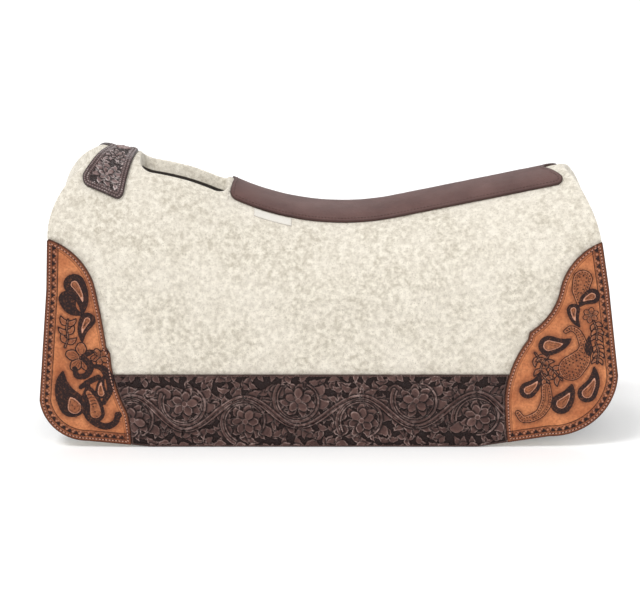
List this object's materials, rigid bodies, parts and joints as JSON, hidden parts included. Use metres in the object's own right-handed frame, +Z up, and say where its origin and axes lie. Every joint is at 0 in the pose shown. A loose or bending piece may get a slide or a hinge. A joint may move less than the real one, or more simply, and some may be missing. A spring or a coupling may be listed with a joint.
{
  "type": "western saddle pad",
  "caption": "Contoured wool-felt Western saddle pad with tooled leather corners, side wear leathers, spine strip and wither relief slot.",
  "frame": {"origin": "midway between the flaps' lower edges, on the surface they stand on, halfway along the pad", "axes": "+Z up; X along the spine with the withers (front) at -X; near side (the horse's left) at -Y"},
  "size_m": [0.771, 0.2196, 0.3907],
  "materials": {
    "felt": "matte",
    "tan_leather": "satin",
    "dark_leather": "semi gloss",
    "spine_leather": "satin",
    "label_tape": "satin",
    "dark_thread": "matte",
    "pale_thread": "matte"
  },
  "bodies": {
    "off_side": {"felt_off": "felt", "front_corner_off": "tan_leather", "rear_corner_off": "tan_leather", "side_leather_off": "dark_leather", "front_corner_stitching_off": "dark_thread", "rear_corner_stitching_off": "dark_thread", "side_leather_stitching_off": "dark_thread", "spine_strip": "spine_leather", "spine_strip_stitching": "dark_thread", "wither_patch": "dark_leather", "wither_patch_stitching": "dark_thread", "spine_seam_thread": "pale_thread"},
    "near_side": {"felt_near": "felt", "front_corner_near": "tan_leather", "rear_corner_near": "tan_leather", "side_leather_near": "dark_leather", "front_corner_stitching_near": "dark_thread", "rear_corner_stitching_near": "dark_thread", "side_leather_stitching_near": "dark_thread", "blank_label": "label_tape", "blank_label_stitching": "pale_thread"}
  },
  "joints": [
    {"name": "spine_fold", "type": "hinge", "parent": "off_side", "child": "near_side", "pos_m": [0, 0, 0.335], "axis": [-1, 0, 0], "range_deg": [-15, 35], "stiffness_Nm_per_rad": 20, "deforming": ["felt_near", "felt_off", "spine_strip", "spine_strip_stitching", "wither_patch", "wither_patch_stitching", "spine_seam_thread"]}
  ]
}
